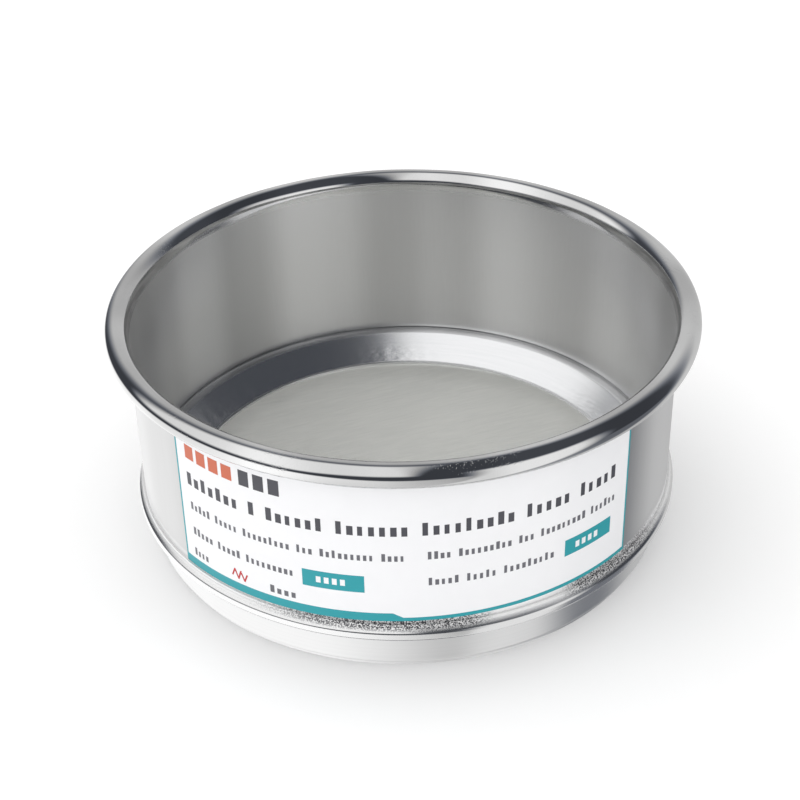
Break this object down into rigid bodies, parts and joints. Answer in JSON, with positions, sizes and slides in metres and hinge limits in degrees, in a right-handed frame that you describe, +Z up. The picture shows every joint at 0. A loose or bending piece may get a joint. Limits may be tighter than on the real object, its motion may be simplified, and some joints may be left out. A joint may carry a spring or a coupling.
{
  "type": "laboratory test sieve",
  "caption": "Round stamped steel test sieve with a rolled rim, stacking bead, nesting skirt, conical clamp ring, fine woven wire cloth and a front label.",
  "frame": {"origin": "centre of the skirt's lower edge, where the sieve stands", "axes": "+Z up along the sieve's axis, towards the rolled rim; the label faces -Y"},
  "size_m": [0.11, 0.11, 0.0462],
  "materials": {
    "polished_steel": "polished stamped stainless steel, satin on the wall",
    "satin_steel": "satin stamped stainless steel",
    "ring_steel": "bright stamped stainless steel, slightly rippled near the cloth",
    "woven_wire": "fine plain-woven stainless wire cloth",
    "label_film": "printed white adhesive film",
    "label_ink": "printed dark ink",
    "label_teal": "printed teal ink",
    "label_accent": "printed orange and hand-drawn red ink"
  },
  "bodies": {
    "root": {"bowl_frame": "polished_steel", "skirt_frame": "satin_steel", "clamp_ring": "ring_steel", "wire_cloth": "woven_wire", "wall_label": "label_film"}
  },
  "joints": []
}
